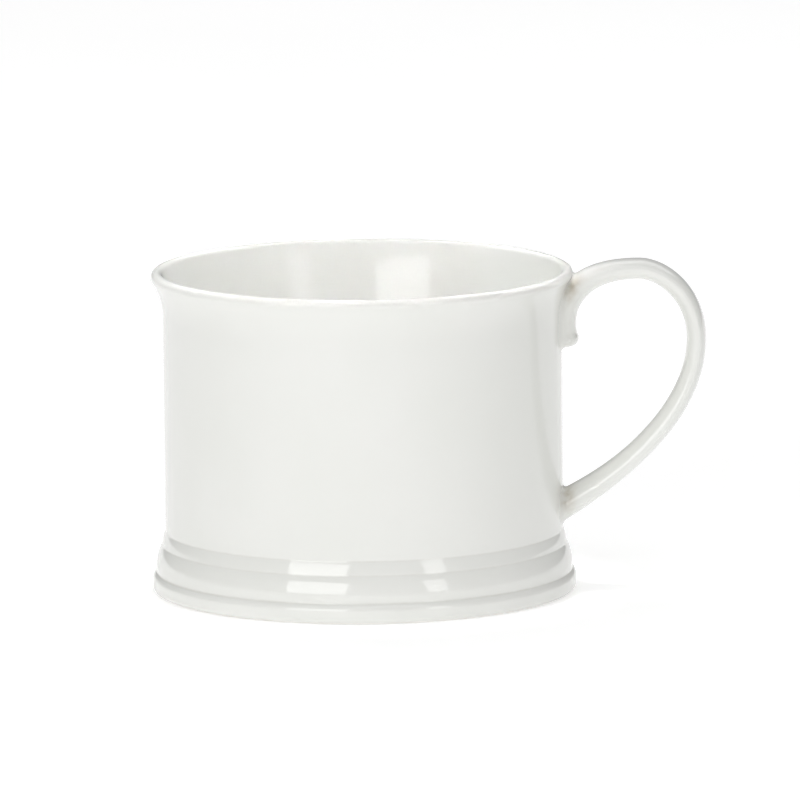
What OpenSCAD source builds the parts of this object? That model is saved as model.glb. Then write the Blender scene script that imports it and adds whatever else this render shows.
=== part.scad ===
// Shaving mug in white glazed porcelain: a turned cup with a flared lip and a stepped foot,
// and a strap handle luted to its side. The origin is the centre of the foot on the table,
// +Z is up and +X points to the handle. Millimetres.

/* [Cup] */
// Height of the cup from the table to the top of the lip
cup_h = 80.5; // [64:0.5:110]
// Outer diameter of the straight wall
wall_d = 99.2; // [80:0.4:130]
// Thickness of the straight wall
wall_t = 4.5; // [3.5:0.1:6]
// Thickness of the floor, between the two coats of glaze
floor_t = 5; // [3:0.5:8]
// Radius inside, between the floor and the wall
floor_corner_r = 9; // [4:0.5:14]

/* [Lip] */
// How far the lip stands out from the wall
lip_out = 2.9; // [2:0.1:4]
// Thickness of the rounded lip
lip_t = 2.9; // [2.2:0.1:3.4]
// Lean of the outside surface where it meets the lip, in degrees
flare_lean = 30; // [24:1:36]
// Radius of the hollow curve between the wall and the lip
flare_r = 18; // [10:1:24]
// Lean of the inside surface where it meets the lip, in degrees
inside_lean = 19; // [15:1:22]

/* [Stepped foot] */
// How far the upper ring stands out from the wall
upper_ring_out = 0.9; // [0.5:0.05:1.1]
// Height of the straight face of the upper ring above the table
upper_ring_z = 10.8; // [10:0.1:13]
// Radius of the shoulder of the upper ring
upper_shoulder_r = 11.5; // [8:0.5:14]
// How far the middle ring stands out from the wall
middle_ring_out = 2.25; // [1.6:0.05:2.6]
// Height of the straight face of the middle ring above the table
middle_ring_z = 6.2; // [5.4:0.1:7.4]
// Radius of the shoulder of the middle ring
middle_shoulder_r = 12; // [8:0.5:16]
// How far the bottom bead stands out from the wall
bead_out = 3.2; // [2.8:0.1:4]
// Height of the straight face of the bottom bead above the table
bead_z = 3.2; // [2.6:0.1:3.8]
// Radius of the shoulder of the bottom bead
bead_shoulder_r = 2.2; // [1.6:0.1:4]
// Radius under the bottom bead
bead_edge_r = 1.5; // [1:0.1:1.8]
// Width of the flat ring that the mug stands on
foot_w = 3.4; // [2:0.2:5]
// Depth of the recess under the floor
recess_h = 2.6; // [1.6:0.2:4]
// Radius between the recess and its side
recess_corner_r = 1.5; // [0.8:0.1:1.6]

/* [Handle] */
// Width of the strap across the loop
strap_w = 10.5; // [8:0.5:13]
// Width of the strap where it meets the cup
strap_end_w = 12; // [9:0.5:15]
// Thickness of the strap at the top of the loop
strap_top_t = 5; // [4:0.1:7]
// Thickness of the strap where the loop is widest
strap_side_t = 4.8; // [4:0.1:7]
// Thickness of the strap where the loop meets the tongue
throat_t = 6.3; // [5:0.1:8]
// Thickness of the strap at its lower end
strap_root_t = 7.4; // [5:0.1:9]
// How far the tongue on the wall stands out from it
tongue_out = 3.8; // [3:0.1:5]
// Extra thickness of the spur that ends the tongue
spur_out = 0.4; // [0:0.1:0.8]
// Distance from the lip down to the end of the tongue
tongue_drop = 19.5; // [17:0.5:24]
// Distance from the wall out to the top of the loop, at the middle of the strap
loop_top_out = 19.3; // [16:0.1:24]
// Height of the top of the loop above the lip, at the middle of the strap
loop_rise = 0; // [-3:0.5:6]
// Distance from the wall out to the widest part of the loop, at the middle of the strap
loop_out = 33.5; // [28:0.5:42]
// Distance from the lip down to the widest part of the loop
loop_out_drop = 17.3; // [14:0.1:20]
// Height above the table where the middle of the strap enters the wall
root_z = 21; // [19:0.5:24]
// Climb of the strap where it leaves its lower end, in degrees
root_climb = 28; // [15:1:45]

/* [Glaze and slip] */
// Thickness of the glaze
glaze_t = 0.25; // [0.15:0.05:0.35]
// Thickness of the dried slip between the handle and the cup
slip_t = 0.6; // [0.4:0.1:1]
// Height above the table up to which the foot is left bare
bare_h = 0.6; // [0.4:0.1:0.9]

/* [Hidden] */
$fn = 120;
clay_color = [0.93, 0.91, 0.87];
slip_color = [0.88, 0.85, 0.80];
glaze_color = [0.96, 0.96, 0.95];
cut = 1; // overshoot of a cutting shape

wall_r = wall_d / 2;
ring_root_r = wall_r - wall_t / 2; // the foot's rings are rooted in the middle of the wall
lip_r = lip_t / 2;
lip_centre = [wall_r + lip_out - lip_r, cup_h - lip_r];
cavity_r = wall_r - wall_t;
floor_z = recess_h + floor_t;

// The hollow outside curve: it leaves the wall upright and ends on a straight that is
// tangent to the lip.
flare_room = lip_out - lip_r * (1 - cos(flare_lean));
flare_fit_r = min(flare_r, 0.9 * flare_room / (1 - cos(flare_lean)));
flare_end_r = wall_r + flare_fit_r * (1 - cos(flare_lean));
lip_tangent = lip_centre + lip_r * [cos(flare_lean), -sin(flare_lean)];
flare_end_z = lip_tangent[1] - (lip_tangent[0] - flare_end_r) / tan(flare_lean);
flare_centre = [wall_r + flare_fit_r, flare_end_z - flare_fit_r * sin(flare_lean)];

// The inside curve: one arc from the upright cavity wall to the lip.
inside_end = lip_centre + lip_r * [-cos(inside_lean), sin(inside_lean)];
inside_r = (inside_end[0] - cavity_r) / (1 - cos(inside_lean));
inside_centre = [cavity_r + inside_r, inside_end[1] - inside_r * sin(inside_lean)];

// The standing ring lies between the rounding under the bead and the recess.
foot_outer_r = wall_r + bead_out - bead_edge_r;
recess_r = foot_outer_r - foot_w;

// Points of an arc from one angle to another
function arc(centre, radius, from, to, steps) =
    [for (i = [0:steps])
        let (a = from + (to - from) * i / steps)
        centre + radius * [cos(a), sin(a)]];

// ---- Cup section, right of the axis. grow moves every glazed surface out by that much. ----

// Points up the outside of the wall and over the lip
function outside_points(grow) = concat(
    [[wall_r + grow, 0]],
    arc(flare_centre, flare_fit_r - grow, 180, 180 - flare_lean, 12),
    arc(lip_centre, lip_r + grow, -flare_lean, 180 - inside_lean, 20));

// The same, and then down the inside to the middle of the floor
function cup_outline(grow) = concat(
    outside_points(grow),
    arc(inside_centre, inside_r + grow, 180 - inside_lean, 180, 12),
    arc([cavity_r - floor_corner_r, floor_z + floor_corner_r],
        floor_corner_r - grow, 0, -90, 10),
    [[0, floor_z + grow], [0, 0]]);

// One ring of the stepped foot: a straight face with a rounded shoulder above it
module ring_section(out, face_z, shoulder_r, grow) {
    translate([ring_root_r, bead_edge_r])
        square([wall_r + out + grow - ring_root_r, face_z - bead_edge_r]);
    intersection() {
        translate([wall_r + out - shoulder_r, face_z]) circle(r = shoulder_r + grow);
        translate([ring_root_r, face_z])
            square([wall_r + out + cut - ring_root_r, shoulder_r + cut]);
    }
}

// The bottom bead: a ring with a rounding under it
module bead_section(grow) {
    ring_section(bead_out, bead_z, bead_shoulder_r, grow);
    translate([foot_outer_r, bead_edge_r]) circle(r = bead_edge_r + grow);
    translate([ring_root_r, 0]) square([foot_outer_r - ring_root_r, bead_z]);
}

// The recess under the floor
module recess_section(grow) {
    corner = [recess_r - recess_corner_r, recess_h - recess_corner_r];
    translate([0, -cut]) square([corner[0], recess_h - grow + cut]);
    translate([0, -cut]) square([recess_r - grow, corner[1] + cut]);
    translate(corner) circle(r = recess_corner_r - grow);
}

// Half section of the cup
module cup_section(grow) {
    difference() {
        union() {
            polygon(cup_outline(grow));
            ring_section(upper_ring_out, upper_ring_z, upper_shoulder_r, grow);
            ring_section(middle_ring_out, middle_ring_z, middle_shoulder_r, grow);
            bead_section(grow);
        }
        recess_section(grow);
    }
}

// Half section of the fired clay: under the glaze, but full size at the bare foot
module clay_section() {
    cup_section(-glaze_t);
    intersection() {
        cup_section(0);
        square([wall_r + bead_out + cut, bare_h]);
    }
}

// Everything inside the cup's outside surface, to trim what meets it
module cup_envelope(grow) {
    rotate_extrude() {
        cup_section(grow);
        polygon(concat([[0, 0]], outside_points(grow), [[0, inside_end[1]]]));
    }
}

// ---- Handle. The loop is three Bezier curves in the XZ plane: up the tongue and over to ----
// ---- the top, down to the widest point, and back to the wall.                          ----

tip_round = 2.5;   // length over which the end of the tongue is rounded
tip_steps = 5;
top_steps = 16;
side_steps = 14;
root_steps = 18;
section_points = 24;
section_power = 2.2;  // 2 would be an ellipse, more is squarer
crown_shift = 0.5;    // the widest line of the strap lies this far towards its outer face
spur_part = 0.15;     // share of the first curve over which the spur fades
tongue_pull = 3;      // how far each end of a curve keeps its direction
top_pull = 20.2;
crown_pull = 5.5;
side_pull_up = 11.3;
side_pull_down = 15.9;
root_pull = 24.6;
root_even = 0.35;     // share of the strap's thickening that is spread over the whole last curve
root_swell = 0.6;     // where on the last curve the rest of the thickening starts

tongue_start = [wall_r, cup_h - tongue_drop + tip_round];
loop_top = [wall_r + loop_top_out, cup_h + loop_rise];
loop_side = [wall_r + loop_out, cup_h - loop_out_drop];
loop_root = [wall_r - wall_t / 2, root_z - wall_t / 2 * tan(root_climb)];

top_curve = [tongue_start, tongue_start + [0, tongue_pull], loop_top - [top_pull, 0], loop_top];
side_curve = [loop_top, loop_top + [crown_pull, 0], loop_side + [0, side_pull_up], loop_side];
root_curve = [loop_side, loop_side - [0, side_pull_down],
              loop_root + root_pull * [cos(root_climb), sin(root_climb)], loop_root];

function curve_point(p, t) =
    pow(1 - t, 3) * p[0] + 3 * pow(1 - t, 2) * t * p[1] + 3 * (1 - t) * t * t * p[2]
    + pow(t, 3) * p[3];

function curve_slope(p, t) =
    pow(1 - t, 2) * (p[1] - p[0]) + 2 * (1 - t) * t * (p[2] - p[1]) + t * t * (p[3] - p[2]);

function blend(a, b, t) = a + (b - a) * t * t * (3 - 2 * t);

// Half thickness of the strap along each curve
function top_half_t(t) =
    (t < 0.5 ? blend(tongue_out, throat_t / 2, 2 * t)
             : blend(throat_t / 2, strap_top_t / 2, 2 * t - 1))
    + spur_out * pow(max(0, 1 - t / spur_part), 2);
function side_half_t(t) = blend(strap_top_t / 2, strap_side_t / 2, t);
function root_half_t(t) =
    let (swell = max(0, (t - root_swell) / (1 - root_swell)))
    (strap_side_t + (strap_root_t - strap_side_t)
        * (root_even * t + (1 - root_even) * pow(swell, 2))) / 2;

// A station of the strap: its middle, its direction, its half width and half thickness
function station(curve, t, half_w, half_t) =
    let (slope = curve_slope(curve, t))
    [curve_point(curve, t), slope / norm(slope), half_w, half_t];

stations = concat(
    [for (i = [1:tip_steps - 1])
        let (a = 90 * i / tip_steps)
        [tongue_start - [0, tip_round * cos(a)], [0, 1],
         strap_end_w / 2 * sin(a), top_half_t(0) * sin(a)]],
    [for (i = [0:top_steps])
        let (t = i / top_steps)
        station(top_curve, t, blend(strap_end_w, strap_w, t) / 2, top_half_t(t))],
    [for (i = [1:side_steps])
        let (t = i / side_steps)
        station(side_curve, t, strap_w / 2, side_half_t(t))],
    [for (i = [1:root_steps])
        let (t = i / root_steps)
        station(root_curve, t, blend(strap_w, strap_end_w, t * t) / 2, root_half_t(t))]);

function signed_power(x, power) = sign(x) * pow(abs(x), power);

// Points around the strap at one station, pulled in by inset
function ring_points(s, inset) =
    let (outward = [-s[1][1], s[1][0]], half_w = s[2] - inset, half_t = s[3] - inset)
    [for (j = [0:section_points - 1])
        let (a = 360 * j / section_points,
             side = half_w * signed_power(cos(a), 2 / section_power),
             depth = half_t - crown_shift * sign(sin(a)),
             out = crown_shift + depth * signed_power(sin(a), 2 / section_power),
             p = s[0] + out * outward)
        [p[0], side, p[1]]];

// The strap before it is trimmed to the cup
module strap(inset) {
    last = len(stations) - 1;
    n = section_points;
    points = [for (s = stations) each ring_points(s, inset)];
    walls = [for (i = [0:last - 1], j = [0:n - 1])
        [i * n + j, (i + 1) * n + j, (i + 1) * n + (j + 1) % n, i * n + (j + 1) % n]];
    ends = [[for (j = [0:n - 1]) j], [for (j = [n - 1:-1:0]) last * n + j]];
    polyhedron(points = points, faces = concat(walls, ends));
}

// Dried slip between the strap and the cup
module slip() {
    intersection() {
        strap(glaze_t);
        difference() {
            cup_envelope(slip_t - glaze_t);
            cup_envelope(-glaze_t);
        }
    }
}

// The space above or below the gap between the tongue and the strap's lower end
module half_space(upper) {
    split_z = (tongue_start[1] + loop_root[1]) / 2;
    side = 2 * (wall_r + loop_out);
    translate([-side / 2, -side / 2, upper ? split_z : -cut])
        cube([side, side, upper ? cup_h : split_z + cut]);
}

// ---- Sub-parts ----

// Turned cup of fired clay
module cup_body() {
    color(clay_color) rotate_extrude() clay_section();
}

// Cast strap handle of fired clay, with the tongue that lies on the wall
module handle() {
    color(clay_color) difference() {
        strap(glaze_t);
        cup_envelope(slip_t - glaze_t);
    }
}

module upper_slip_joint() {
    color(slip_color) intersection() {
        slip();
        half_space(true);
    }
}

module lower_slip_joint() {
    color(slip_color) intersection() {
        slip();
        half_space(false);
    }
}

// Coat of glaze over the outside, the lip and the inside
module cup_glaze() {
    color(glaze_color) difference() {
        rotate_extrude() difference() {
            cup_section(0);
            clay_section();
            square([(recess_r + foot_outer_r) / 2, recess_h + floor_t / 2]);
        }
        strap(glaze_t);
    }
}

// Coat of glaze in the recess under the floor
module underside_glaze() {
    color(glaze_color) rotate_extrude() intersection() {
        difference() {
            cup_section(0);
            clay_section();
        }
        square([(recess_r + foot_outer_r) / 2, recess_h + floor_t / 2]);
    }
}

// Coat of glaze over the handle
module handle_glaze() {
    color(glaze_color) difference() {
        strap(0);
        strap(glaze_t);
        cup_envelope(0);
    }
}

cup_body();
handle();
upper_slip_joint();
lower_slip_joint();
cup_glaze();
underside_glaze();
handle_glaze();
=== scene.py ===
"""Looks for the shaving mug: glazed porcelain pieces, a studio and a camera around the frame."""
import math

import bpy
import numpy as np
from mathutils import Matrix, Vector


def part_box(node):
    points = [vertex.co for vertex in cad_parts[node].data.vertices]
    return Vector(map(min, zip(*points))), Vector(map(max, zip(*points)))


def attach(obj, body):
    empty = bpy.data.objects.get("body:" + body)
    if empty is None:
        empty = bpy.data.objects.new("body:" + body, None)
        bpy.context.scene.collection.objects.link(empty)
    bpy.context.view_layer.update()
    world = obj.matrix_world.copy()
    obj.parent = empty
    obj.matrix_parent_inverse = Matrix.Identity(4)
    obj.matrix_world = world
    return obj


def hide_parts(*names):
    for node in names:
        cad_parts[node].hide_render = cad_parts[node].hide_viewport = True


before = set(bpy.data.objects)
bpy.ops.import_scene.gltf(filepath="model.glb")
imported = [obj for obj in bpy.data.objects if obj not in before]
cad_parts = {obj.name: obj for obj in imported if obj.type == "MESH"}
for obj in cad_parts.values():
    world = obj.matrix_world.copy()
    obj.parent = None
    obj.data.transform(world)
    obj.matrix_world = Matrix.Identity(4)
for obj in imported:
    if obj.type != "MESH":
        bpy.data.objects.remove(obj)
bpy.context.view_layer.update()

MM = 0.001

# ---- Sizes in millimetres: the design's own named values, hung on the frame's boxes ----

LIP_OUT = 2.9
LIP_T = 2.9
FLARE_LEAN = 30
FLARE_R = 18
INSIDE_LEAN = 19
WALL_T = 4.5
FLOOR_T = 5
FLOOR_CORNER_R = 9
BEAD_OUT = 3.2
RINGS = (                        # stands out, height of the face, radius of the shoulder
    (0.9, 10.8, 11.5),
    (2.25, 6.2, 12),
    (BEAD_OUT, 3.2, 2.2),
)
BEAD_EDGE_R = 1.5
FOOT_W = 3.4
RECESS_H = 2.6
RECESS_CORNER_R = 1.5
GLAZE_T = 0.25
BARE_H = 0.6

CUP_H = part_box("cup_glaze")[1].z / MM
WALL_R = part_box("cup_glaze")[1].y / MM - BEAD_OUT
FOOT_R = WALL_R + BEAD_OUT - BEAD_EDGE_R

STRAP_W = 10.5
STRAP_END_W = 12
STRAP_TOP_T = 5
STRAP_SIDE_T = 4.8
THROAT_T = 6.3
STRAP_ROOT_T = 7.4
TONGUE_OUT = 3.8
SPUR_OUT = 0.4
SPUR_PART = 0.15
TONGUE_DROP = 19.5
TIP_ROUND = 2.5
TIP_POWER = 3                    # 2 would round the tongue's end as an ellipse, more is blunter
LOOP_TOP_OUT = 19.3
LOOP_OUT = 33.5
LOOP_OUT_DROP = 17.3
ROOT_Z = 21
ROOT_CLIMB = 28
TONGUE_PULL = 3
TOP_PULL = 20.2
CROWN_PULL = 5.5
SIDE_PULL_UP = 11.3
SIDE_PULL_DOWN = 15.9
ROOT_PULL = 24.6
ROOT_EVEN = 0.35
ROOT_SWELL = 0.6
SECTION_POWER = 2.2
CROWN_SHIFT = 0.5

FOOT_CHAMFER = 0.15              # inner edge of the ring that the mug stands on
GLAZE_SOFTENS = 0.13             # how far glaze rounds over a corner or fills a groove
FILLET_R = 1.3                   # glaze and slip gathered where the strap meets the cup
STRAP_ROOTED = 1.0               # how deep the strap's coat is sunk in the wall's

# Painted shade in the grooves and where the strap meets the cup, coloured like the glaze that also
# pools there: 1 is the deepest, 0 is an even coat.
GROOVE_POOL_AND_SHADE = 0.15               # painted shade, like pooled glaze, in a sharp groove of the foot
GROOVE_TURN = 1.5                # a groove is sharp when it turns this much, radians per millimetre
STRAP_POOL_AND_SHADE = 0.08                # painted shade, like pooled glaze, along the whole joint between the strap and the cup
CORNER_POOL_AND_SHADE = 0.8                # more painted shade added in the two corners above the strap's ends
CORNER_HEIGHTS = (CUP_H - 4.5, ROOT_Z + 2.5)
CORNER_REACH = 3                 # up and down the joint
POOL_AND_SHADE_CENTRE = 1.5                # out from the wall
POOL_AND_SHADE_REACH = 1.8

# Fineness of the meshes: points around and steps along, in millimetres
CUP_AROUND = 288
HIDDEN_AROUND = 192
STRAP_AROUND = 96
STATION_STEP = 0.4

# ---- Studio, in metres and degrees ----

VIEW_DISTANCE = 3.0
VIEW_AZIMUTH = 3
VIEW_ELEVATION = 9.35
VIEW_ROLL = 0.52
FRAME_WIDTH = 0.1993
AIM_RIGHT = 0.0092
AIM_UP = 0.0070
MIDDLE = Vector((0, 0, CUP_H * MM / 2))

LIGHTS = (  # name, azimuth from the camera's, elevation, distance, width, height, brightness, mirrored
    ("left_softbox", -26.5, 13.5, 1.2, 0.71, 0.56, 3.1, True),
    ("right_strip", 40, 13.5, 1.5, 0.32, 0.7, 2.4, True),
    ("overhead_strip", 0, 58, 2.6, 2.8, 0.5, 1.7, True),
    ("top_light", 180, 80, 1.9, 3.2, 2.6, 0.8, False),
    ("backdrop_light", 180, 45, 2.2, 3.0, 1.2, 0.9, True),
)
CUP_LIGHT_POWER = 0.06
CUP_LIGHT_D = 0.08
CUP_LIGHT_Z = 0.7
CUP_LIGHT_SPREAD = 6
WORLD_STRENGTH = 0.24
FLOOR_HALF = 6
FLOOR_GLOW = 0.3


# ---- Outlines of the cup: arrays of (radius, height) in millimetres ----

def arc(centre, radius, start, end, steps):
    """Points of an arc from one angle to another, in degrees."""
    angles = np.radians(np.linspace(start, end, steps + 1))
    return np.c_[centre[0] + radius * np.cos(angles), centre[1] + radius * np.sin(angles)]


def lip_curves():
    """The lip's centre and radius, and the centres and radii of the curves outside and inside it."""
    lip_r = LIP_T / 2
    lip = np.array([WALL_R + LIP_OUT - lip_r, CUP_H - lip_r])
    lean = math.radians(FLARE_LEAN)
    tangent = lip + lip_r * np.array([math.cos(lean), -math.sin(lean)])
    flare_end_r = WALL_R + FLARE_R * (1 - math.cos(lean))
    flare_end_z = tangent[1] - (tangent[0] - flare_end_r) / math.tan(lean)
    flare = np.array([WALL_R + FLARE_R, flare_end_z - FLARE_R * math.sin(lean)])
    lean = math.radians(INSIDE_LEAN)
    inner_end = lip + lip_r * np.array([-math.cos(lean), math.sin(lean)])
    inner_r = (inner_end[0] - WALL_R + WALL_T) / (1 - math.cos(lean))
    inner = np.array([WALL_R - WALL_T + inner_r, inner_end[1] - inner_r * math.sin(lean)])
    return lip, lip_r, flare, inner, inner_r


def foot_radius(z, grow):
    """Outside radius of the wall and the rings of the foot at each height."""
    radius = np.full(len(z), WALL_R + grow)
    for out, face_z, shoulder_r in RINGS:
        reach = shoulder_r + grow
        above = np.clip(z - face_z, 0, reach)
        ring = WALL_R + out - shoulder_r + np.sqrt(reach ** 2 - above ** 2)
        radius = np.maximum(radius, np.where(above < reach, ring, 0))
    return radius


def outside_outline(grow):
    """Up the outside, from the bare foot to the start of the lip."""
    edge_r = BEAD_EDGE_R + grow
    edge_start = -math.degrees(math.asin((BEAD_EDGE_R - BARE_H) / edge_r))
    flare = lip_curves()[2]
    z = np.linspace(BEAD_EDGE_R, flare[1], 1200)
    return np.vstack([
        arc((FOOT_R, BEAD_EDGE_R), edge_r, edge_start, 0, 12),
        np.c_[foot_radius(z, grow), z],
        arc(flare, FLARE_R - grow, 180, 180 - FLARE_LEAN, 40),
    ])


def inside_outline(grow):
    """Over the lip and down the inside to the middle of the floor."""
    lip, lip_r, _, inner, inner_r = lip_curves()
    floor_z = RECESS_H + FLOOR_T
    corner = (WALL_R - WALL_T - FLOOR_CORNER_R, floor_z + FLOOR_CORNER_R)
    return np.vstack([
        arc(lip, lip_r + grow, -FLARE_LEAN, 180 - INSIDE_LEAN, 60),
        arc(inner, inner_r + grow, 180 - INSIDE_LEAN, 180, 40),
        arc(corner, FLOOR_CORNER_R - grow, 0, -90, 40),
        [[0, floor_z + grow]],
    ])


def recess_outline(grow):
    """From the foot ring up into the recess and to the middle of its ceiling."""
    radius = FOOT_R - FOOT_W
    corner = (radius - RECESS_CORNER_R, RECESS_H - RECESS_CORNER_R)
    return np.vstack([
        [[radius - grow, BARE_H]],
        arc(corner, RECESS_CORNER_R - grow, 0, 90, 16),
        [[0, RECESS_H - grow]],
    ])


def foot_outline():
    """The bare ring that the mug stands on, from the recess round to the outside."""
    edge_start = -math.degrees(math.asin((BEAD_EDGE_R - BARE_H) / BEAD_EDGE_R))
    inner_r = FOOT_R - FOOT_W
    return np.vstack([
        [[inner_r, BARE_H], [inner_r, FOOT_CHAMFER], [inner_r + FOOT_CHAMFER, 0]],
        arc((FOOT_R, BEAD_EDGE_R), BEAD_EDGE_R, -90, edge_start, 12),
    ])


def lengths_along(line):
    """How far along the line each of its points lies."""
    return np.r_[0, np.cumsum(np.linalg.norm(np.diff(line, axis=0), axis=1))]


def evenly(line, step):
    """The same line with its points at even steps."""
    length = lengths_along(line)
    at = np.linspace(0, length[-1], max(2, round(length[-1] / step) + 1))
    return np.c_[np.interp(at, length, line[:, 0]), np.interp(at, length, line[:, 1])]


def softened(line, reach, step=0.06):
    """The line as glaze leaves it: corners rounded over and grooves filled."""
    line = evenly(line, step)
    half = round(3 * reach / step)
    weights = np.exp(-0.5 * (np.arange(-half, half + 1) * step / reach) ** 2)
    weights /= weights.sum()
    before = 2 * line[0] - line[half:0:-1]
    after = 2 * line[-1] - line[-2:-half - 2:-1]
    padded = np.vstack([before, line, after])
    return np.c_[np.convolve(padded[:, 0], weights, "valid"),
                 np.convolve(padded[:, 1], weights, "valid")]


def turns(line):
    """How sharply the line turns at each point, in radians per millimetre, left turns positive."""
    heading = np.unwrap(np.arctan2(np.gradient(line[:, 1]), np.gradient(line[:, 0])))
    return np.gradient(heading) / np.gradient(lengths_along(line))


def thinned(line, turn=0.035, longest=2.5, grading=0.35):
    """Which points to keep: close together in curves, further apart the further from one."""
    length = lengths_along(line)
    spacing = np.clip(turn / np.maximum(np.abs(turns(line)), 1e-6), 0.12, longest)
    for i in range(1, len(line)):
        spacing[i] = min(spacing[i], spacing[i - 1] + grading * (length[i] - length[i - 1]))
    for i in range(len(line) - 2, -1, -1):
        spacing[i] = min(spacing[i], spacing[i + 1] + grading * (length[i + 1] - length[i]))
    kept = [0]
    for i in range(1, len(line) - 1):
        if length[i] - length[kept[-1]] >= spacing[i]:
            kept.append(i)
    return kept + [len(line) - 1]


# ---- Meshes ----

def add_object(name, vertices, faces, material, pool_and_shade):
    """A mesh object from vertices in millimetres; the last argument says how much painted shade and
    pooled glaze darken each point.
    """
    mesh = bpy.data.meshes.new(name)
    mesh.from_pydata((np.asarray(vertices) * MM).tolist(), [], faces)
    mesh.materials.append(material)
    attribute = mesh.attributes.new("pool_and_shade", "FLOAT", "POINT")
    attribute.data.foreach_set("value", np.asarray(pool_and_shade, dtype=np.float32))
    mesh.shade_smooth()
    obj = bpy.data.objects.new(name, mesh)
    bpy.context.scene.collection.objects.link(obj)
    return obj


def turned(name, outline, pool_and_shade, segments, material):
    """A solid of revolution from a closed outline, whose ends may lie on the axis."""
    angles = np.linspace(0, 2 * math.pi, segments, endpoint=False)
    vertices, rows, pool_and_shade_per_point = [], [], []
    # Each outline point carries how much painted shade and pooled glaze darken it.
    for (radius, height), depth in zip(outline, pool_and_shade):
        start = len(vertices)
        if radius < 1e-6:
            vertices.append((0, 0, height))
            rows.append([start] * segments)
        else:
            vertices += [(radius * math.cos(a), radius * math.sin(a), height) for a in angles]
            rows.append(list(range(start, start + segments)))
        pool_and_shade_per_point += [depth] * (len(vertices) - start)
    faces = []
    for lower, upper in zip(rows, rows[1:] + rows[:1]):
        for j in range(segments):
            k = (j + 1) % segments
            corners = [lower[j], lower[k], upper[k], upper[j]]
            face = [c for i, c in enumerate(corners) if c != corners[i - 1]]
            if len(face) > 2:
                faces.append(face)
    return add_object(name, vertices, faces, material, pool_and_shade_per_point)


def build_cup_coat(material):
    """Glaze over the outside, the lip and the inside, from the bare foot to the floor's middle."""
    raw = np.vstack([outside_outline(0), inside_outline(0)])
    outer = softened(raw, GLAZE_SOFTENS)
    outer[-1, 0] = 0
    # Painted shade: the glaze is darkened in the foot's grooves, where it also pools.
    pool_and_shade = GROOVE_POOL_AND_SHADE * np.clip(-turns(outer) / GROOVE_TURN, 0, 1)
    kept = thinned(outer)
    back = evenly(np.vstack([outside_outline(-GLAZE_T), inside_outline(-GLAZE_T)]), 1.0)[::-1]
    outline = np.vstack([outer[kept], back])
    pool_and_shade = np.r_[pool_and_shade[kept], np.zeros(len(back))]
    return turned("cup_glaze_coat", outline, pool_and_shade, CUP_AROUND, material)


def build_underside_coat(material):
    """Glaze in the recess under the floor."""
    front = softened(recess_outline(0), GLAZE_SOFTENS)
    front[-1, 0] = 0
    kept = thinned(front)
    back = evenly(recess_outline(-GLAZE_T), 1.0)[::-1]
    outline = np.vstack([front[kept], back])
    return turned("underside_glaze_coat", outline, np.zeros(len(outline)), HIDDEN_AROUND, material)


def build_clay(material):
    """The cup's fired clay: hidden under the glaze but for the ring it stands on."""
    outline = np.vstack([
        recess_outline(-GLAZE_T)[::-1],
        foot_outline(),
        evenly(outside_outline(-GLAZE_T), 0.8),
        evenly(inside_outline(-GLAZE_T), 0.8),
    ])
    return turned("cup_clay", outline, np.zeros(len(outline)), HIDDEN_AROUND, material)


# ---- The strap handle ----

def bezier(p, t):
    """Points of the cubic curve with four control points p, at each t."""
    t = t[:, None]
    return ((1 - t) ** 3 * p[0] + 3 * (1 - t) ** 2 * t * p[1]
            + 3 * (1 - t) * t ** 2 * p[2] + t ** 3 * p[3])


def blended(a, b, t):
    """From a to b, level at both ends."""
    return a + (b - a) * t * t * (3 - 2 * t)


def signed_power(x, power):
    return np.sign(x) * np.abs(x) ** power


def strap_stations():
    """Along the strap: middle (radius, height), half width and half thickness."""
    t = np.linspace(0, 1, 400)
    start = np.array([WALL_R, CUP_H - TONGUE_DROP + TIP_ROUND])
    top = np.array([WALL_R + LOOP_TOP_OUT, CUP_H])
    side = np.array([WALL_R + LOOP_OUT, CUP_H - LOOP_OUT_DROP])
    climb = math.radians(ROOT_CLIMB)
    root = np.array([WALL_R - WALL_T / 2, ROOT_Z - WALL_T / 2 * math.tan(climb)])
    leave = ROOT_PULL * np.array([math.cos(climb), math.sin(climb)])

    spur = SPUR_OUT * np.maximum(0, 1 - t / SPUR_PART) ** 2
    throat = np.where(t < 0.5, blended(TONGUE_OUT, THROAT_T / 2, np.minimum(2 * t, 1)),
                      blended(THROAT_T / 2, STRAP_TOP_T / 2, np.maximum(2 * t - 1, 0)))
    swell = np.maximum(0, (t - ROOT_SWELL) / (1 - ROOT_SWELL)) ** 2
    thicker = ROOT_EVEN * t + (1 - ROOT_EVEN) * swell
    curves = (
        (bezier((start, start + (0, TONGUE_PULL), top - (TOP_PULL, 0), top), t),
         blended(STRAP_END_W, STRAP_W, t) / 2, throat + spur),
        (bezier((top, top + (CROWN_PULL, 0), side + (0, SIDE_PULL_UP), side), t),
         np.full(len(t), STRAP_W / 2), blended(STRAP_TOP_T, STRAP_SIDE_T, t) / 2),
        (bezier((side, side - (0, SIDE_PULL_DOWN), root + leave, root), t),
         blended(STRAP_W, STRAP_END_W, t * t) / 2,
         (STRAP_SIDE_T + (STRAP_ROOT_T - STRAP_SIDE_T) * thicker) / 2),
    )
    dense = np.vstack([np.c_[points, half_w, half_t][1:] for points, half_w, half_t in curves])
    length = lengths_along(dense[:, :2])
    at = np.linspace(0, length[-1], round(length[-1] / STATION_STEP))
    stations = np.column_stack([np.interp(at, length, column) for column in dense.T])
    reach = np.cos(np.radians(np.linspace(2, 86, 16)))
    share = (1 - reach ** TIP_POWER) ** (1 / TIP_POWER)
    tip = np.c_[np.full(len(reach), WALL_R), start[1] - TIP_ROUND * reach,
                stations[0, 2] * share, stations[0, 3] * share]
    return np.vstack([tip, stations])


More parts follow.
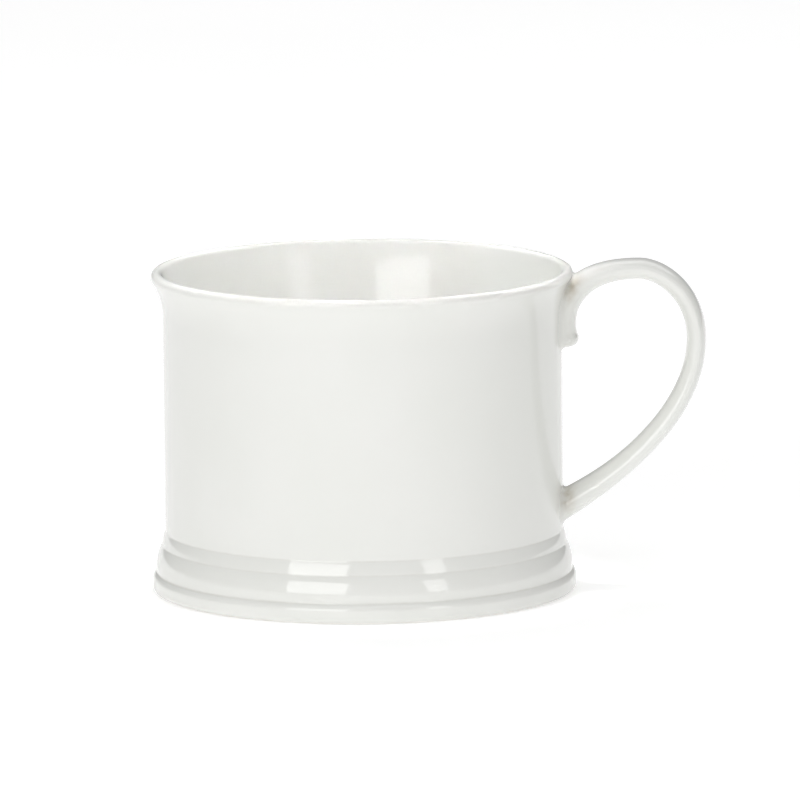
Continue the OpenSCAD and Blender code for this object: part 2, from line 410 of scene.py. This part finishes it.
def strap_rings(stations, around):
    """The strap's surface as rings of points, one ring to a station."""
    heading = np.gradient(stations[:, :2], axis=0)
    heading /= np.linalg.norm(heading, axis=1)[:, None]
    a = 2 * math.pi * np.arange(around) / around
    across = signed_power(np.cos(a), 2 / SECTION_POWER)
    out = signed_power(np.sin(a), 2 / SECTION_POWER)
    r, z, half_w, half_t = (column[:, None] for column in stations.T)
    shift = CROWN_SHIFT * np.minimum(1, half_t / 2)
    depth = shift + (half_t - shift * np.sign(out)) * out
    return np.stack([r - heading[:, 1:] * depth, half_w * across, z + heading[:, :1] * depth], -1)


def surface_normals(rings):
    """Outward directions of the ringed surface at each of its points."""
    along = np.gradient(rings, axis=0)
    around = np.roll(rings, -1, axis=1) - np.roll(rings, 1, axis=1)
    normals = np.cross(around, along)
    normals /= np.maximum(np.linalg.norm(normals, axis=2, keepdims=True), 1e-9)
    outward = rings - rings.mean(axis=1, keepdims=True)
    return normals * np.sign((normals * outward).sum(axis=2).mean())


def cup_radius(z):
    """Outside radius of the cup at each height, for whatever meets it."""
    outline = np.vstack([outside_outline(0), inside_outline(0)[:25]])
    return np.interp(z, outline[:, 1], outline[:, 0], right=0)


def build_strap_coat(material, around=STRAP_AROUND):
    """The glazed handle, with a soft fillet where it meets the cup."""
    rings = strap_rings(strap_stations(), around)
    normals = surface_normals(rings)
    radius = np.hypot(rings[..., 0], rings[..., 1])
    away = np.zeros_like(rings)
    away[..., :2] = rings[..., :2] / radius[..., None]
    gap = radius - cup_radius(rings[..., 2])
    along_wall = normals - (normals * away).sum(-1, keepdims=True) * away
    near = 1 - np.clip(gap / FILLET_R, 0, 1)
    rings = rings + FILLET_R * (1 - np.sqrt(1 - near ** 2))[..., None] * along_wall
    rings += np.maximum(-gap - STRAP_ROOTED, 0)[..., None] * away
    # Painted shade, coloured like pooled glaze, along the strap's joint with the cup and deepest in
    # the corners above its ends.
    corners = sum(np.exp(-((rings[..., 2] - z) / CORNER_REACH) ** 2) for z in CORNER_HEIGHTS)
    pool_and_shade = (STRAP_POOL_AND_SHADE + CORNER_POOL_AND_SHADE * corners) * np.exp(-((gap - POOL_AND_SHADE_CENTRE) / POOL_AND_SHADE_REACH) ** 2)

    count = len(rings)
    vertices = np.vstack([rings.reshape(-1, 3), rings[0].mean(0), rings[-1].mean(0)])
    pool_and_shade = np.r_[pool_and_shade.ravel(), pool_and_shade[0].mean(), pool_and_shade[-1].mean()]
    faces = [[i * around + j, i * around + (j + 1) % around,
              (i + 1) * around + (j + 1) % around, (i + 1) * around + j]
             for i in range(count - 1) for j in range(around)]
    first, last, base = count * around, count * around + 1, (count - 1) * around
    faces += [[first, (j + 1) % around, j] for j in range(around)]
    faces += [[last, base + j, base + (j + 1) % around] for j in range(around)]
    return add_object("handle_glaze_coat", vertices, faces, material, pool_and_shade)


# ---- Materials ----

def new_material(name):
    material = bpy.data.materials.new(name)
    material.use_nodes = True
    tree = material.node_tree
    return material, tree, tree.nodes["Principled BSDF"]


def add_noise(tree, scale, detail, roughness=0.5):
    """Noise over the object's own coordinates. scale counts waves to a metre."""
    coordinates = tree.nodes.new("ShaderNodeTexCoord")
    noise = tree.nodes.new("ShaderNodeTexNoise")
    noise.inputs["Scale"].default_value = scale
    noise.inputs["Detail"].default_value = detail
    noise.inputs["Roughness"].default_value = roughness
    tree.links.new(coordinates.outputs["Object"], noise.inputs["Vector"])
    return noise.outputs["Fac"]


def add_range(tree, value, low, high, start=0.35, end=0.65):
    """Maps noise between start and end to the range from low to high."""
    node = tree.nodes.new("ShaderNodeMapRange")
    node.inputs["From Min"].default_value = start
    node.inputs["From Max"].default_value = end
    node.inputs["To Min"].default_value = low
    node.inputs["To Max"].default_value = high
    tree.links.new(value, node.inputs["Value"])
    return node.outputs["Result"]


def add_mix(tree, factor, first, second):
    """Mixes two colours; either may be a colour or another node's output."""
    node = tree.nodes.new("ShaderNodeMix")
    node.data_type = "RGBA"
    tree.links.new(factor, node.inputs["Factor"])
    for socket, colour in ((node.inputs[6], first), (node.inputs[7], second)):
        if isinstance(colour, tuple):
            socket.default_value = (*colour, 1)
        else:
            tree.links.new(colour, socket)
    return node.outputs[2]


def add_bump(tree, height, strength, distance, normal=None):
    node = tree.nodes.new("ShaderNodeBump")
    node.inputs["Strength"].default_value = strength
    node.inputs["Distance"].default_value = distance
    tree.links.new(height, node.inputs["Height"])
    if normal:
        tree.links.new(normal, node.inputs["Normal"])
    return node.outputs["Normal"]


def glaze_material():
    """Glossy warm white glaze: slightly wavy, and warmer and darker where it pools, with painted shade
    in its grooves and at the strap's joints.
    """
    material, tree, shader = new_material("white_glaze")
    clouds = add_range(tree, add_noise(tree, 30, 2), 0, 1)
    white = add_mix(tree, clouds, (0.832, 0.838, 0.802), (0.852, 0.855, 0.824))
    pool_and_shade = tree.nodes.new("ShaderNodeAttribute")
    pool_and_shade.attribute_name = "pool_and_shade"
    blotches = add_range(tree, add_noise(tree, 500, 3), 0.35, 1)
    pooled_and_shaded = tree.nodes.new("ShaderNodeMath")
    pooled_and_shaded.operation = "MULTIPLY"
    tree.links.new(pool_and_shade.outputs["Fac"], pooled_and_shaded.inputs[0])
    tree.links.new(blotches, pooled_and_shaded.inputs[1])
    # The warm dark colour is painted shade of the creases, mixed with the colour of glaze pooled
    # there.
    colour = add_mix(tree, pooled_and_shaded.outputs["Value"], white, (0.57, 0.52, 0.43))
    tree.links.new(colour, shader.inputs["Base Color"])
    gloss = add_range(tree, add_noise(tree, 90, 3), 0.045, 0.085)
    tree.links.new(gloss, shader.inputs["Roughness"])
    waves = add_bump(tree, add_noise(tree, 55, 1), 0.25, 0.00008)
    ripples = add_bump(tree, add_noise(tree, 700, 2), 0.06, 0.00005, waves)
    tree.links.new(ripples, shader.inputs["Normal"])
    shader.inputs["IOR"].default_value = 1.6
    return material


def clay_material(name, light, dark):
    """Bare fired clay: matt, a little mottled, with a fine grain."""
    material, tree, shader = new_material(name)
    mottle = add_range(tree, add_noise(tree, 160, 4), 0, 1)
    tree.links.new(add_mix(tree, mottle, light, dark), shader.inputs["Base Color"])
    dryness = add_range(tree, add_noise(tree, 400, 3), 0.68, 0.9)
    tree.links.new(dryness, shader.inputs["Roughness"])
    grain = add_bump(tree, add_noise(tree, 2500, 3, 0.7), 0.5, 0.00008)
    tree.links.new(grain, shader.inputs["Normal"])
    shader.inputs["IOR"].default_value = 1.45
    return material


def floor_material():
    """A matt white studio table, faintly lit from below as a light table is."""
    material, tree, shader = new_material("pale_floor")
    shade = add_range(tree, add_noise(tree, 3, 2), 0, 1)
    colour = add_mix(tree, shade, (0.89, 0.89, 0.89), (0.91, 0.91, 0.91))
    tree.links.new(colour, shader.inputs["Base Color"])
    shader.inputs["Roughness"].default_value = 0.9
    shader.inputs["Emission Color"].default_value = (1, 1, 1, 1)
    shader.inputs["Emission Strength"].default_value = FLOOR_GLOW
    return material


# ---- Studio ----

def direction(azimuth, elevation):
    """From the mug towards a place in the studio; azimuth 0 is the front, + is to the right."""
    a, e = math.radians(azimuth - 90), math.radians(elevation)
    return Vector((math.cos(a) * math.cos(e), math.sin(a) * math.cos(e), math.sin(e)))


def add_camera():
    place = MIDDLE + VIEW_DISTANCE * direction(VIEW_AZIMUTH, VIEW_ELEVATION)
    facing = (MIDDLE - place).to_track_quat("-Z", "Y")
    aim = MIDDLE + facing @ Vector((AIM_RIGHT, AIM_UP, 0))
    turn = (aim - place).to_track_quat("-Z", "Y").to_matrix()
    roll = Matrix.Rotation(math.radians(-VIEW_ROLL), 3, "Z")
    data = bpy.data.cameras.new("camera")
    data.sensor_width = 36
    data.lens = data.sensor_width * VIEW_DISTANCE / FRAME_WIDTH
    data.clip_end = 50
    camera = bpy.data.objects.new("camera", data)
    camera.matrix_world = Matrix.Translation(place) @ (turn @ roll).to_4x4()
    bpy.context.scene.collection.objects.link(camera)
    bpy.context.scene.camera = camera


def add_softbox(name, azimuth, elevation, distance, width, height, brightness, mirrored):
    """A rectangular light that faces the mug; mirrored says whether the glaze shows it."""
    data = bpy.data.lights.new(name, "AREA")
    data.shape = "RECTANGLE"
    data.size = width
    data.size_y = height
    data.energy = brightness * math.pi * width * height
    light = bpy.data.objects.new(name, data)
    light.visible_glossy = mirrored
    place = MIDDLE + distance * direction(azimuth + VIEW_AZIMUTH, elevation)
    facing = (MIDDLE - place).to_track_quat("-Z", "Y")
    light.matrix_world = Matrix.Translation(place) @ facing.to_matrix().to_4x4()
    bpy.context.scene.collection.objects.link(light)


def add_cup_light():
    """A small light straight above, aimed down into the cup, that the glaze doesn't show."""
    data = bpy.data.lights.new("cup_light", "AREA")
    data.shape = "DISK"
    data.size = CUP_LIGHT_D
    data.spread = math.radians(CUP_LIGHT_SPREAD)
    data.energy = CUP_LIGHT_POWER
    light = bpy.data.objects.new("cup_light", data)
    light.location = (0, 0, CUP_LIGHT_Z)
    light.visible_glossy = False
    bpy.context.scene.collection.objects.link(light)


def add_floor():
    corners = [(x * FLOOR_HALF, y * FLOOR_HALF, 0) for x, y in ((-1, -1), (1, -1), (1, 1), (-1, 1))]
    mesh = bpy.data.meshes.new("floor")
    mesh.from_pydata(corners, [], [(0, 1, 2, 3)])
    mesh.materials.append(floor_material())
    floor = bpy.data.objects.new("floor", mesh)
    bpy.context.scene.collection.objects.link(floor)


def add_world():
    world = bpy.data.worlds.new("studio")
    world.use_nodes = True
    background = world.node_tree.nodes["Background"]
    background.inputs["Color"].default_value = (1, 1, 1, 1)
    background.inputs["Strength"].default_value = WORLD_STRENGTH
    bpy.context.scene.world = world


add_camera()
for light in LIGHTS:
    add_softbox(*light)
add_cup_light()
add_floor()
add_world()
bpy.context.scene.view_settings.view_transform = "Standard"

glaze = glaze_material()
clay = clay_material("fired_clay", (0.86, 0.85, 0.825), (0.82, 0.805, 0.775))
slip = clay_material("dried_slip", (0.80, 0.78, 0.74), (0.74, 0.715, 0.665))
node_materials = {"handle": clay, "upper_slip_joint": slip, "lower_slip_joint": slip}

PIECES = (
    (build_cup_coat(glaze), "cup_glaze", "glaze"),
    (build_underside_coat(glaze), "underside_glaze", "glaze"),
    (build_strap_coat(glaze), "handle_glaze", "glaze"),
    (build_clay(clay), "cup_body", "biscuit"),
)
for piece, node, slot in PIECES:
    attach(piece, "root")
    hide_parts(node)

for node, material in node_materials.items():
    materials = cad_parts[node].data.materials
    materials.clear()
    materials.append(material)
